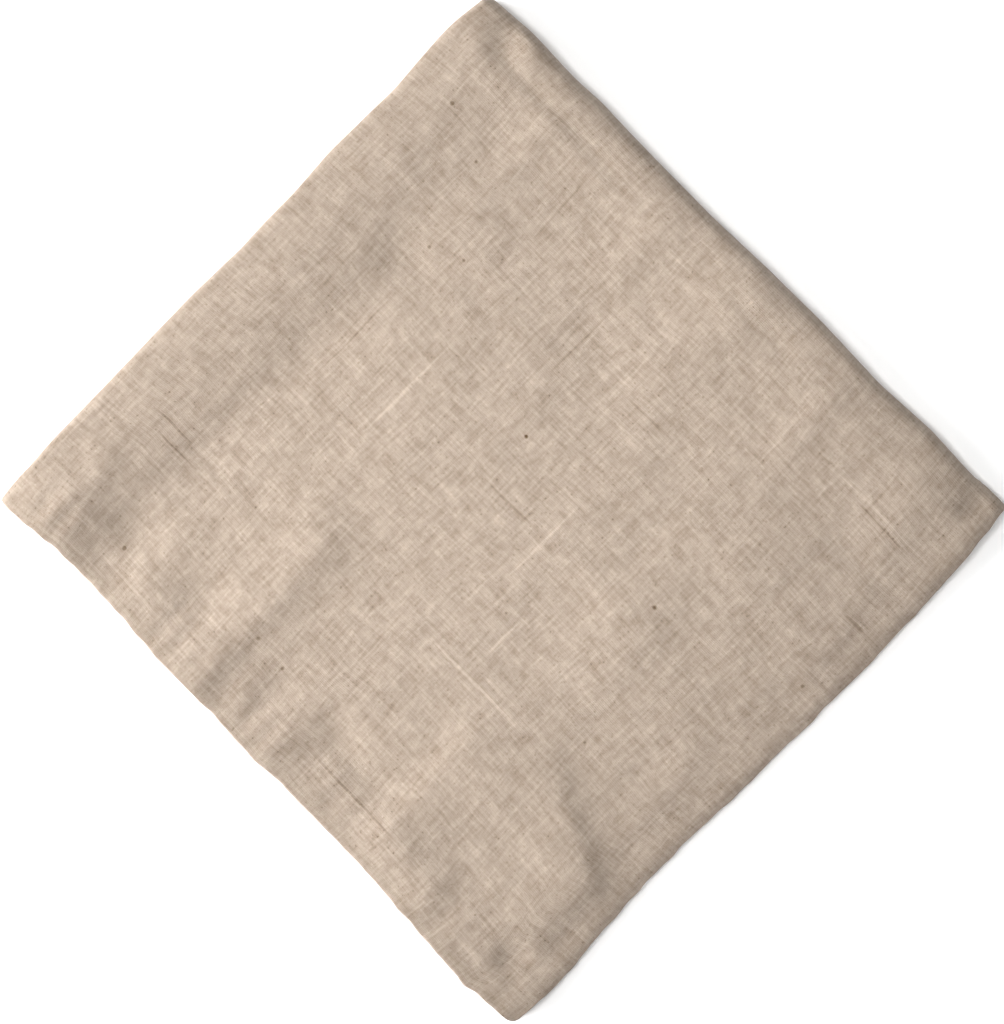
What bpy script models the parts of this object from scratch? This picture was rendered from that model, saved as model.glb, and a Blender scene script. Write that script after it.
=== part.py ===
"""Folded cloth napkin: one hemmed linen cloth, folded in half twice, as one solid. Metres, +Z up.

The cloth starts as a flat grid. The first fold lies along the -X side and the second along +Y, so
the open hemmed edges lie along +X and -Y. The lowest layer is flat where it rests.
"""

import math
from collections import namedtuple

import bmesh
import bpy

MM = 0.001

# Sheet
CLOTH_THICK = 1.0 * MM
HEM_THICK = 1.4 * MM
HEM_WIDTH = 12.2 * MM
LINEN_COLOR = (0.545, 0.448, 0.357, 1.0)

# Nominal sides of the folded cloth
FOLD_X = -116.0 * MM
HEM_X = 113.2 * MM
FOLD_Y = 110.9 * MM
HEM_Y = -108.6 * MM
# Parts of the lowest layer under this height are laid on the ground plane
LIES_FLAT_UNDER = 0.15 * MM

# How far the turn of each fold reaches in plan
FIRST_TURN = 1.8 * MM
SECOND_TURN = 5.0 * MM
# Steps in each quarter turn of a fold
TURN_STEPS = 4

# Distances from the turn at which the grid has lines, in millimetres, close together where the cloth shows
SHOWN_FROM_FIRST = (
    *(4, 10, 16, 23, 30, 38, 48, 60, 71, 78, 83, 90, 102),
    *(116, 130, 144, 153, 160, 168, 179, 189, 198, 207, 212),
)
SHOWN_FROM_SECOND = (4, 9, 16, 24, 34, 46, 60, 76, 92, 108, 124, 138, 150, 158, 165, 173, 182, 190, 198)
HIDDEN_FROM_FIRST = (4, 13, 26, 42, 60, 78, 96, 116, 137, 157, 177, 196, 210)
HIDDEN_FROM_SECOND = (4, 12, 24, 42, 64, 88, 112, 136, 158, 178, 194)
# Distances of the hem's lines from the edge
HEM_LINES = [mm * MM for mm in (13.2, 12.2, 11.4, 5.5, 0.0)]

Along = namedtuple("Along", "at out")
Ridge = namedtuple("Ridge", "x0 y0 x1 y1 half_width rise")
Roll = namedtuple("Roll", "inward height")

# Outline of the first fold: at is Y, out is X
FIRST_FOLD_LINE = [
    Along(-108.6, -112.0),
    Along(-104.0, -113.2),
    Along(-97.0, -113.9),
    Along(-92.0, -114.3),
    Along(-85.0, -114.9),
    Along(-65.0, -115.2),
    Along(-50.0, -115.5),
    Along(-35.0, -115.9),
    Along(-20.0, -116.1),
    Along(1.0, -115.6),
    Along(10.0, -116.1),
    Along(25.0, -116.2),
    Along(40.0, -117.4),
    Along(55.0, -117.3),
    Along(70.0, -117.0),
    Along(80.0, -117.8),
    Along(91.0, -118.5),
    Along(97.0, -118.5),
    Along(101.5, -118.2),
    Along(106.6, -117.9),
    Along(110.9, -117.5),
]

# Outline of the second fold: at is X, out is Y
SECOND_FOLD_LINE = [
    Along(-116.0, 110.2),
    Along(-112.8, 110.7),
    Along(-108.0, 111.0),
    Along(-99.0, 111.3),
    Along(-79.0, 110.6),
    Along(-68.0, 111.2),
    Along(-52.0, 110.7),
    Along(-17.0, 110.4),
    Along(8.0, 111.2),
    Along(30.0, 111.4),
    Along(45.0, 110.9),
    Along(57.0, 110.5),
    Along(79.0, 111.7),
    Along(97.0, 111.2),
    Along(102.0, 111.4),
    Along(106.0, 111.7),
    Along(113.2, 111.8),
]

# Outline of the hem along +X: at is Y, out is X
SIDE_HEM_LINE = [
    Along(-108.6, 113.7),
    Along(-104.0, 114.9),
    Along(-92.0, 115.6),
    Along(-70.0, 114.0),
    Along(-50.0, 112.6),
    Along(-26.0, 112.5),
    Along(-15.0, 113.2),
    Along(27.0, 113.6),
    Along(49.0, 113.7),
    Along(82.0, 112.3),
    Along(95.0, 111.2),
    Along(104.0, 110.2),
    Along(107.0, 109.9),
    Along(110.9, 109.5),
]

# Outline of the hem along -Y: at is X, out is Y
FRONT_HEM_LINE = [
    Along(-116.0, -106.6),
    Along(-106.0, -107.9),
    Along(-85.0, -106.6),
    Along(-67.0, -106.8),
    Along(-48.0, -108.2),
    Along(-21.0, -108.4),
    Along(-2.0, -109.3),
    Along(8.0, -108.6),
    Along(46.0, -109.2),
    Along(62.0, -110.3),
    Along(80.0, -111.7),
    Along(94.0, -112.7),
    Along(98.0, -111.5),
    Along(108.0, -111.5),
    Along(113.2, -111.3),
]

# How far the edges of the layers below the top one lie inside the outline at the open corner
BOTTOM_INSET = 1.6 * MM
SECOND_INSET = 3.4 * MM
THIRD_INSET = 2.3 * MM
# How far the lower turn of the first fold is tucked in at its open end
LOWER_TUCK = 1.2 * MM

# Height of the stack above what it rests on
FLAT_HEIGHT = 6.5 * MM
LEAST_HEIGHT = 5.4 * MM
# Rise of the stack over the hem along -Y, fall towards the hem along +X, and the reach of each
FRONT_HEM_RISE = 0.6 * MM
FRONT_FLANK = 11.0 * MM
SIDE_HEM_FALL = 0.8 * MM
SIDE_FLANK = 16.0 * MM
# Rise of the stack by the distance inward from each fold
FIRST_ROLL = [Roll(0, 2.1), Roll(4, 2.5), Roll(12, 2.8), Roll(21, 2.5), Roll(37, 0.6), Roll(70, 0.5), Roll(110, 0.0)]
SECOND_ROLL = [Roll(0, 1.4), Roll(3, 2.2), Roll(8, 2.7), Roll(16, 2.6), Roll(34, 1.2), Roll(60, 0.0)]

# Soft ridges and hollows of the upper side, in millimetres
RIDGES = [
    # Folds that run in from the front hem, and the pockets between them
    Ridge(-98, -104, -97, -80, 8, 0.8),
    Ridge(-76, -94, -77, -84, 11, -1.1),
    Ridge(-60, -102, -62, -84, 9, 0.6),
    Ridge(-45, -92, -45, -84, 8, -0.9),
    Ridge(-31, -104, -32, -50, 8, 1.2),
    Ridge(11, -95, 12, -84, 8, -0.8),
    Ridge(46, -96, 45, -66, 11, 1.1),
    # The hump near the open corner
    Ridge(74, -52, 97, -64, 13, 1.4),
    Ridge(96, -66, 98, -84, 9, 0.9),
    Ridge(97, -34, 97, -16, 8, 0.7),
    # Along the folds
    Ridge(-78, 35, -78, -62, 9, -0.4),
    Ridge(-74, 62, -72, 92, 14, 0.8),
    Ridge(-106, 105, -103, 98, 7, -1.0),
    Ridge(-104, 111, -24, 111, 10, 0.8),
    # Broad swells of the middle
    Ridge(2, 70, 6, 92, 12, 0.8),
    Ridge(44, 4, 50, -4, 14, 0.9),
    Ridge(30, 50, 38, 24, 11, -0.6),
    Ridge(80, 74, 88, 62, 10, -0.4),
    Ridge(70, -30, 86, -26, 10, -0.5),
    Ridge(-30, 10, -40, -40, 24, 0.7),
    Ridge(-48, 60, -20, 60, 16, -0.4),
    Ridge(10, 0, 20, -10, 60, 0.9),
]


def eased(share):
    """A share from 0 to 1 with a soft start and end."""
    share = min(max(share, 0.0), 1.0)
    return share * share * (3.0 - 2.0 * share)


def read_table(table, place):
    """The second column of a table at a place in its first, straight between rows."""
    if place <= table[0][0]:
        return table[0][1]
    for low, high in zip(table, table[1:]):
        if place <= high[0]:
            share = (place - low[0]) / (high[0] - low[0])
            return low[1] + share * (high[1] - low[1])
    return table[-1][1]


def line_at(table, place):
    """An outline's place in metres."""
    return read_table(table, place / MM) * MM


def grid_lines(from_turn, half_length):
    """The marks of one direction of the cloth, as (share of the turn, share of the straight)."""
    quarter = [(step / TURN_STEPS, 0.0) for step in range(TURN_STEPS + 1)]
    straight = [(1.0, distance * MM / half_length) for distance in from_turn]
    hem = [(1.0, 1.0 - distance / half_length) for distance in HEM_LINES]
    return quarter + straight + hem


def both_halves(far_marks, near_marks):
    """Signed marks from one edge of the cloth to the other, through its fold."""
    far = [(-1.0, turn, straight) for turn, straight in reversed(far_marks)]
    near = [(1.0, turn, straight) for turn, straight in near_marks[1:]]
    return far + near


def roll_rise(table, inward):
    """Rise of the stack at a distance from a fold."""
    inward = max(inward / MM, 0.0)
    for low, high in zip(table, table[1:]):
        if inward <= high.inward:
            share = eased((inward - low.inward) / (high.inward - low.inward))
            return (low.height + share * (high.height - low.height)) * MM
    return table[-1].height * MM


def ridge_rise(ridge, x, y):
    """Rise of one soft ridge or hollow at a place."""
    run_x, run_y = ridge.x1 - ridge.x0, ridge.y1 - ridge.y0
    share = ((x / MM - ridge.x0) * run_x + (y / MM - ridge.y0) * run_y) / (run_x**2 + run_y**2)
    share = min(max(share, 0.0), 1.0)
    away = math.hypot(x / MM - ridge.x0 - share * run_x, y / MM - ridge.y0 - share * run_y)
    return ridge.rise * MM * math.exp(-((away / ridge.half_width) ** 2))


def stack_height(x, y):
    """Height of the upper side of the stack at a place."""
    first = roll_rise(FIRST_ROLL, x - line_at(FIRST_FOLD_LINE, y))
    second = roll_rise(SECOND_ROLL, line_at(SECOND_FOLD_LINE, x) - y)
    from_side = line_at(SIDE_HEM_LINE, y) - x
    from_front = y - line_at(FRONT_HEM_LINE, x)
    hems = FRONT_HEM_RISE * (1.0 - eased((from_front - HEM_WIDTH) / FRONT_FLANK))
    hems -= SIDE_HEM_FALL * (1.0 - eased((from_side - HEM_WIDTH / 2) / SIDE_FLANK))
    ridges = sum(ridge_rise(ridge, x, y) for ridge in RIDGES)
    return max(FLAT_HEIGHT + math.hypot(first, second) + hems + ridges, LEAST_HEIGHT)


def edge_inset(upper_half, outer_half):
    """How far the open edges of a layer lie inside the outline."""
    if upper_half:
        return 0.0 if outer_half else THIRD_INSET
    return BOTTOM_INSET if outer_half else SECOND_INSET


def folded_place(across, along):
    """Where a mark of the flat cloth lies once folded, and how thick the cloth is there."""
    side_u, turn_u, straight_u = across
    side_v, turn_v, straight_v = along
    outer_half, upper_half = side_u > 0.0, side_v < 0.0
    angle_u, angle_v = turn_u * math.pi / 2, turn_v * math.pi / 2
    # Outer layers wrap round the inner ones at the second fold
    outward = 2.0 + side_u * math.sin(angle_u)
    reach_u = FIRST_TURN * (1.0 - math.cos(angle_u))
    reach_v = SECOND_TURN * (1.0 - outward / 3.0 * math.cos(angle_v))

    flat_x = FOLD_X + reach_u + straight_u * (HEM_X - FOLD_X - FIRST_TURN)
    flat_y = FOLD_Y - reach_v - straight_v * (FOLD_Y - HEM_Y - SECOND_TURN)
    inset = edge_inset(upper_half, outer_half)
    tuck = 0.0 if upper_half else LOWER_TUCK * straight_v
    fold_x = line_at(FIRST_FOLD_LINE, flat_y) + CLOTH_THICK / 2 + tuck
    fold_y = line_at(SECOND_FOLD_LINE, flat_x) - CLOTH_THICK / 2
    hem_x = line_at(SIDE_HEM_LINE, flat_y) - inset * straight_v
    hem_y = line_at(FRONT_HEM_LINE, flat_x) + inset * straight_u
    x = fold_x + reach_u + straight_u * (hem_x - fold_x - FIRST_TURN)
    y = fold_y - reach_v - straight_v * (fold_y - hem_y - SECOND_TURN)

    level = (3.0 - side_v * outward * math.sin(angle_v)) / 6.0
    thick = HEM_THICK if in_hem(across, along) else CLOTH_THICK
    z = thick / 2 + level * (stack_height(x, y) - thick)
    return (x, y, z), thick


def in_hem(across, along):
    """Whether a mark of the cloth lies in the hem."""
    to_side = (1.0 - across[2]) * (HEM_X - FOLD_X - FIRST_TURN)
    to_front = (1.0 - along[2]) * (FOLD_Y - HEM_Y - SECOND_TURN)
    return min(to_side, to_front) < HEM_WIDTH - 0.1 * MM


def folded_sheet():
    """The folded cloth's middle surface, with each vertex's share of the hem's thickness."""
    straight_x = HEM_X - FOLD_X - FIRST_TURN
    straight_y = FOLD_Y - HEM_Y - SECOND_TURN
    marks_u = both_halves(grid_lines(HIDDEN_FROM_FIRST, straight_x), grid_lines(SHOWN_FROM_FIRST, straight_x))
    marks_v = both_halves(grid_lines(SHOWN_FROM_SECOND, straight_y), grid_lines(HIDDEN_FROM_SECOND, straight_y))
    columns, rows = len(marks_u), len(marks_v)
    sheet = bmesh.new()
    bmesh.ops.create_grid(sheet, x_segments=columns - 1, y_segments=rows - 1, size=0.5)
    sheet.verts.ensure_lookup_table()
    thicknesses = []
    for vert in sheet.verts:
        column = round((vert.co.x + 0.5) * (columns - 1))
        row = round((vert.co.y + 0.5) * (rows - 1))
        vert.co, thick = folded_place(marks_u[column], marks_v[row])
        thicknesses.append(thick)
    mesh = bpy.data.meshes.new("napkin_sheet")
    sheet.to_mesh(mesh)
    sheet.free()
    return mesh, thicknesses


def thickened(mesh, thicknesses):
    """A closed mesh round the sheet, thicker in the hem, with its lowest side laid flat."""
    holder = bpy.data.objects.new("napkin_holder", mesh)
    bpy.context.scene.collection.objects.link(holder)
    group = holder.vertex_groups.new(name="hem")
    for index, thick in enumerate(thicknesses):
        group.add([index], thick / HEM_THICK, "REPLACE")
    solidify = holder.modifiers.new("thickness", "SOLIDIFY")
    solidify.thickness = HEM_THICK
    solidify.offset = 0.0
    solidify.use_even_offset = True
    solidify.vertex_group = group.name
    evaluated = holder.evaluated_get(bpy.context.evaluated_depsgraph_get())
    closed = bpy.data.meshes.new_from_object(evaluated)
    bpy.data.objects.remove(holder, do_unlink=True)
    settle(closed)
    return closed


def settle(mesh):
    """Lays the resting side on the ground plane, with the middle of the outline's box over the origin."""
    body = bmesh.new()
    body.from_mesh(mesh)
    bmesh.ops.recalc_face_normals(body, faces=body.faces)
    middle = [(min(side) + max(side)) / 2 for side in zip(*(vert.co.xy for vert in body.verts))]
    bmesh.ops.translate(body, verts=body.verts, vec=(-middle[0], -middle[1], 0.0))
    for vert in body.verts:
        if vert.co.z < LIES_FLAT_UNDER:
            vert.co.z = 0.0
    body.to_mesh(mesh)
    body.free()


def linen():
    """The napkin's material."""
    material = bpy.data.materials.new("linen")
    material.use_nodes = True
    shader = material.node_tree.nodes["Principled BSDF"]
    shader.inputs["Base Color"].default_value = LINEN_COLOR
    shader.inputs["Roughness"].default_value = 0.9
    return material


def main():
    for old in list(bpy.data.objects):
        bpy.data.objects.remove(old, do_unlink=True)
    collection = bpy.data.collections.new("folded_cloth_napkin")
    bpy.context.scene.collection.children.link(collection)
    mesh = thickened(*folded_sheet())
    mesh.name = "napkin"
    mesh.materials.append(linen())
    napkin = bpy.data.objects.new("napkin", mesh)
    collection.objects.link(napkin)


main()
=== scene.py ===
"""Folded linen napkin: a hemmed square of plain woven linen, folded in half twice and lying flat.

The cloth is a flat grid that is folded, first along its -X side and then along its +Y side, so the
open hems lie along +X and -Y. Its soft ridges and hollows are listed one by one, its thickness comes
from a Solidify modifier, and its weave follows a UV map that holds the flat cloth's own metres.
"""

import logging
import math
from dataclasses import dataclass
from enum import Enum
from typing import Any, Union

import bmesh
import bpy
import numpy as np
from mathutils import Matrix, Vector, noise

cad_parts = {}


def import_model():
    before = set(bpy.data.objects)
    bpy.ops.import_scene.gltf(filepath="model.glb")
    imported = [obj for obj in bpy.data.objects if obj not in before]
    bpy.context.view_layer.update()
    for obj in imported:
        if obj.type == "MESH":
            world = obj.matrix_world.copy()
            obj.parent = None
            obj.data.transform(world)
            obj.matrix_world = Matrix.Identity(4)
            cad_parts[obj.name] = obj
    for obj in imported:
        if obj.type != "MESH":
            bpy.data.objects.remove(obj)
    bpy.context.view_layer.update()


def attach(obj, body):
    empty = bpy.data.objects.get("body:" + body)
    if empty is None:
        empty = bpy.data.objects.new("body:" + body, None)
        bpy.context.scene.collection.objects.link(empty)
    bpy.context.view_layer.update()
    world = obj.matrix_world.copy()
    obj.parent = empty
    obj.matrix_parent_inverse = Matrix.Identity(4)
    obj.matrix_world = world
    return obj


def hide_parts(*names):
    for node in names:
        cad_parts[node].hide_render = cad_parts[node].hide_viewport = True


LOG = logging.getLogger("napkin")
MM = 0.001
FLAT_MAP = "FlatCloth"

# Two arrays that belong together: low and high limits, or places along X and along Y
Limits = tuple[np.ndarray, np.ndarray]
# A material's number or vector: an output of a node, or a plain value
Value = Union[bpy.types.NodeSocket, float]
# A place on the flat cloth, as U and V
Place = tuple[Value, Value]

# The middle of the outline's box, from the middle of the picture, as the solid is centred on its box
OUTLINE_MIDDLE = Vector((-1.46, -0.29, 0.0)) * MM


class Direction(Enum):
    """The two directions of the cloth's threads."""

    ALONG_X = "along_x"
    ALONG_Y = "along_y"


@dataclass(frozen=True)
class Station:
    """One point of an outline: how far along its side, and where it stands, in millimetres."""

    at: float
    out: float


@dataclass(frozen=True)
class Roll:
    """Rise of the stack at a distance inward from a fold, in millimetres."""

    inward: float
    height: float


@dataclass(frozen=True)
class Crease:
    """A soft ridge, or a hollow with a negative rise, along a straight line, in millimetres.

    The near width is on the left of the line from start to end, and the far width on its right.
    """

    x0: float
    y0: float
    x1: float
    y1: float
    near: float
    far: float
    rise: float


@dataclass(frozen=True)
class Slub:
    """A thick place in one thread of the upper face, in millimetres. A negative tone is darker."""

    x: float
    y: float
    length: float
    width: float
    direction: Direction
    tone: float


@dataclass(frozen=True)
class Fleck:
    """A dark speck of plant fibre on the upper face, in millimetres. Its tone is under zero."""

    x: float
    y: float
    size: float
    tone: float


class Curve:
    """A smooth curve through a table of stations."""

    STEP = 0.5

    def __init__(self, stations: list[Station], softness: float) -> None:
        """Rounds the straight line through the stations.

        Args:
            stations: the table, in the order of its places.
            softness: how far round a station the curve is rounded, in millimetres.
        """
        margin = 4.0 * softness
        self.places = np.arange(stations[0].at - margin, stations[-1].at + margin, self.STEP)
        straight = np.interp(self.places, [s.at for s in stations], [s.out for s in stations])
        reach = int(3.0 * softness / self.STEP)
        kernel = np.exp(-0.5 * (np.arange(-reach, reach + 1) * self.STEP / softness) ** 2)
        padded = np.pad(straight, reach, mode="edge")
        self.values = np.convolve(padded, kernel / kernel.sum(), mode="valid")

    def at(self, places: np.ndarray) -> np.ndarray:
        """The curve's values at some places, both in metres.

        Args:
            places: where to read the curve.

        Returns:
            The values there.
        """
        return np.interp(places / MM, self.places, self.values) * MM


def eased(share: np.ndarray) -> np.ndarray:
    """A share from 0 to 1 with a soft start and end."""
    share = np.clip(share, 0.0, 1.0)
    return share * share * (3.0 - 2.0 * share)


def soft_noise(x: np.ndarray, y: np.ndarray, size: float, offset: float) -> np.ndarray:
    """Smooth noise over a plane, stretched to reach from about -1 to 1.

    Args:
        x: places along X, in metres.
        y: places along Y, in metres.
        size: the size of its lumps, in metres.
        offset: which part of the noise is read.

    Returns:
        The noise at each place.
    """
    flat = zip(np.ravel(x) / size, np.ravel(y) / size)
    values = [noise.noise(Vector((a, b, offset))) for a, b in flat]
    return np.array(values).reshape(np.shape(x)) * 1.8


@dataclass
class Relief:
    """The height of the folded stack over the surface that it lies on."""

    flat_height: float = 6.5 * MM
    least_height: float = 4.4 * MM
    front_hem_rise: float = 0.5 * MM
    side_hem_rise: float = -1.6 * MM
    hem_width: float = 12.2 * MM
    front_flank: float = 11.0 * MM
    side_flank: float = 34.0 * MM
    pucker_length: float = 9.0 * MM
    pucker_reach: float = 6.0 * MM
    pucker_drift: float = 22.0 * MM
    pucker_run: float = 15.0 * MM
    front_pucker: float = 0.26 * MM
    side_pucker: float = 0.12 * MM
    side_drop: float = 1.2 * MM
    side_drop_reach: float = 2.0 * MM
    swell_rise: float = 0.16 * MM
    swell_size: float = 26.0 * MM
    crinkle_rise: float = 0.12 * MM
    crinkle_size: float = 7.0 * MM
    crinkle_stretch: float = 3.2

    FIRST_ROLL = [
        Roll(0, 2.0),
        Roll(4, 2.5),
        Roll(10, 2.8),
        Roll(17, 2.75),
        Roll(23, 2.3),
        Roll(34, 1.0),
        Roll(39, 0.65),
        Roll(47, 0.5),
        Roll(70, 0.6),
        Roll(110, 0.0),
    ]
    SECOND_ROLL = [
        Roll(0, 1.3),
        Roll(2, 2.2),
        Roll(5, 2.7),
        Roll(10, 2.75),
        Roll(16, 2.4),
        Roll(24, 1.6),
        Roll(32, 1.0),
        Roll(44, 0.45),
        Roll(60, 0.0),
    ]
    CREASES = [
        # Folds that run in from the front hem
        Crease(-98, -104, -97, -80, 8, 8, 0.95),
        Crease(-60, -102, -62, -84, 9, 8, 0.7),
        Crease(-32, -104, -32, -50, 12, 7, 1.8),
        Crease(0, -104, 0, -88, 6, 6, 0.6),
        Crease(45, -92, 44, -64, 6, 20, 1.7),
        Crease(66, -108, 66, -98, 7, 5, 0.6),
        # Pockets behind the front hem
        Crease(-76, -94, -77, -84, 11, 9, -1.7),
        Crease(-44, -93, -45, -85, 8, 7, -1.3),
        Crease(-12, -94, -12, -84, 4, 6, -0.7),
        Crease(12, -94, 13, -86, 8, 7, -1.1),
        Crease(16, -88, 30, -90, 5, 5, -0.7),
        # The trough behind the first fold
        Crease(-78, 35, -78, 2, 9, 8, -0.55),
        Crease(-77, -8, -77, -44, 8, 8, -0.5),
        Crease(-79, -54, -79, -62, 9, 8, -0.6),
        Crease(-74, 62, -72, 92, 13, 16, 0.95),
        Crease(-78, 30, -58, 44, 5, 5, -0.6),
        # The hump near the open corner
        Crease(74, -51, 96, -62, 6, 20, 1.8),
        Crease(97, -64, 98, -84, 6, 15, 1.3),
        Crease(58, -62, 60, -66, 10, 10, 0.5),
        Crease(97, -34, 97, -16, 10, 6, 0.6),
        Crease(99, -97, 100, -96, 4.5, 4.5, -1.8),
        Crease(100, 34, 100, 44, 9, 5, 0.6),
        Crease(101, 104, 102, 105, 4.5, 4.5, -1.6),
        Crease(94, 58, 95, 60, 7, 6, 0.5),
        # The second fold, which lies flatter at one end
        Crease(-92, 112, 4, 112, 6, 6, 0.4),
        Crease(56, 112, 108, 112, 8, 8, -0.6),
        Crease(-94, 105, 4, 105, 4, 18, 0.7),
        # The crease inside the second fold
        Crease(-96, 98, -52, 98, 2.5, 2.5, -0.4),
        Crease(6, 97, 24, 96, 4, 4, -0.6),
        # The dent at the closed corner
        Crease(-105, 106, -101, 101, 6, 6, -1.9),
        # Broad swells of the middle
        Crease(50, 7, 57, -3, 13, 13, 0.95),
        Crease(32, -30, 32, -8, 8, 8, -0.5),
        Crease(6, 66, 8, 98, 13, 10, 1.1),
        Crease(-28, 80, -27, 97, 8, 7, 0.8),
        Crease(-76, 84, -74, 94, 6, 6, 0.6),
        Crease(48, 74, 47, 94, 6, 5, 0.6),
        Crease(66, 38, 68, 50, 10, 8, 0.6),
        Crease(87, 80, 90, 94, 10, 8, 0.8),
        Crease(30, 50, 38, 24, 10, 12, -0.7),
        Crease(80, 74, 88, 62, 10, 10, -0.5),
        Crease(70, -30, 86, -26, 10, 10, -0.6),
        Crease(-30, 10, -40, -40, 24, 24, 0.85),
        Crease(-48, 60, -20, 60, 16, 16, -0.5),
        Crease(10, 0, 20, -10, 60, 60, 1.1),
        # Slopes of the folds and hems toward the light, and away from it
        Crease(-118, 40, -118, 92, 10, 10, -0.7),
        Crease(-114, -113, -62, -112, 14, 14, -1.2),
        Crease(34, -113, 52, -113, 12, 12, -1.1),
        Crease(116, -84, 116, 8, 12, 12, -0.6),
        Crease(115, 12, 114, 104, 7, 7, -0.6),
        Crease(30, 60, 30, 90, 20, 36, 0.9),
    ]

    def roll_rise(self, table: list[Roll], inward: np.ndarray) -> np.ndarray:
        """Rise beside a fold.

        Args:
            table: the fold's rises, by distance inward.
            inward: distances inward from the fold, in metres.

        Returns:
            The rise at each distance, in metres.
        """
        places = np.arange(0.0, table[-1].inward + 1.0, 0.5)
        rise = np.interp(places, [r.inward for r in table], [r.height for r in table])
        padded = np.pad(rise, 4, mode="edge")
        soft = np.convolve(padded, np.ones(9) / 9.0, mode="valid")
        return np.interp(inward / MM, places, soft) * MM

    def crease_rise(self, crease: Crease, x: np.ndarray, y: np.ndarray) -> np.ndarray:
        """Rise of one crease.

        Args:
            crease: the crease.
            x: places along X, in metres.
            y: places along Y, in metres.

        Returns:
            Its rise at each place, in metres.
        """
        run_x, run_y = crease.x1 - crease.x0, crease.y1 - crease.y0
        from_x, from_y = x / MM - crease.x0, y / MM - crease.y0
        share = np.clip((from_x * run_x + from_y * run_y) / (run_x**2 + run_y**2), 0.0, 1.0)
        away = np.hypot(from_x - share * run_x, from_y - share * run_y)
        aside = (run_x * from_y - run_y * from_x) / math.hypot(run_x, run_y)
        left = 0.5 + 0.5 * aside / np.maximum(away, 1e-6)
        width = crease.far + (crease.near - crease.far) * left
        return crease.rise * MM * np.exp(-((away / width) ** 2))

    def puckers(self, along: np.ndarray, from_edge: np.ndarray, rise: float) -> np.ndarray:
        """Small ripples that the hem's stitching draws up.

        Args:
            along: places along the hem, in metres.
            from_edge: distances from the hem's edge, in metres.
            rise: their usual rise, in metres.

        Returns:
            Their rise at each place, in metres.
        """
        offset = rise / MM
        level = np.zeros_like(along)
        drift = soft_noise(along, level, self.pucker_drift, offset)
        strength = 0.6 + 0.8 * soft_noise(along, level, self.pucker_run, 9.0 + offset)
        wave = np.cos(2.0 * math.pi * along / self.pucker_length + 3.0 * drift)
        fade = np.exp(-(((from_edge - 0.75 * self.hem_width) / self.pucker_reach) ** 2))
        return rise * strength * wave * fade

    def height(self, x: np.ndarray, y: np.ndarray, sides: "Outline") -> np.ndarray:
        """Height of the upper side of the stack.

        Args:
            x: places along X, in metres.
            y: places along Y, in metres.
            sides: the napkin's outline.

        Returns:
            The height at each place, in metres.
        """
        first = self.roll_rise(self.FIRST_ROLL, x - sides.first_fold.at(y))
        second = self.roll_rise(self.SECOND_ROLL, sides.second_fold.at(x) - y)
        from_side = sides.side_hem.at(y) - x
        from_front = y - sides.front_hem.at(x)
        total = self.flat_height + np.hypot(first, second)
        total += self.front_hem_rise * (1.0 - eased((from_front - self.hem_width) / self.front_flank))
        total += self.side_hem_rise * (1.0 - eased(from_side / self.side_flank))
        for crease in self.CREASES:
            total = total + self.crease_rise(crease, x, y)
        total += self.puckers(x, from_front, self.front_pucker)
        total += self.puckers(y, from_side, self.side_pucker)
        total += self.swell_rise * soft_noise(x, y, self.swell_size, 1.0)
        long_x, long_y = x / self.crinkle_stretch, y / self.crinkle_stretch
        total += self.crinkle_rise * soft_noise(long_x, y, self.crinkle_size, 2.0)
        total += self.crinkle_rise * soft_noise(x, long_y, self.crinkle_size, 6.0)
        drop = self.side_drop * np.exp(-((from_side / self.side_drop_reach) ** 2))
        return np.maximum(total, self.least_height) - drop


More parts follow.
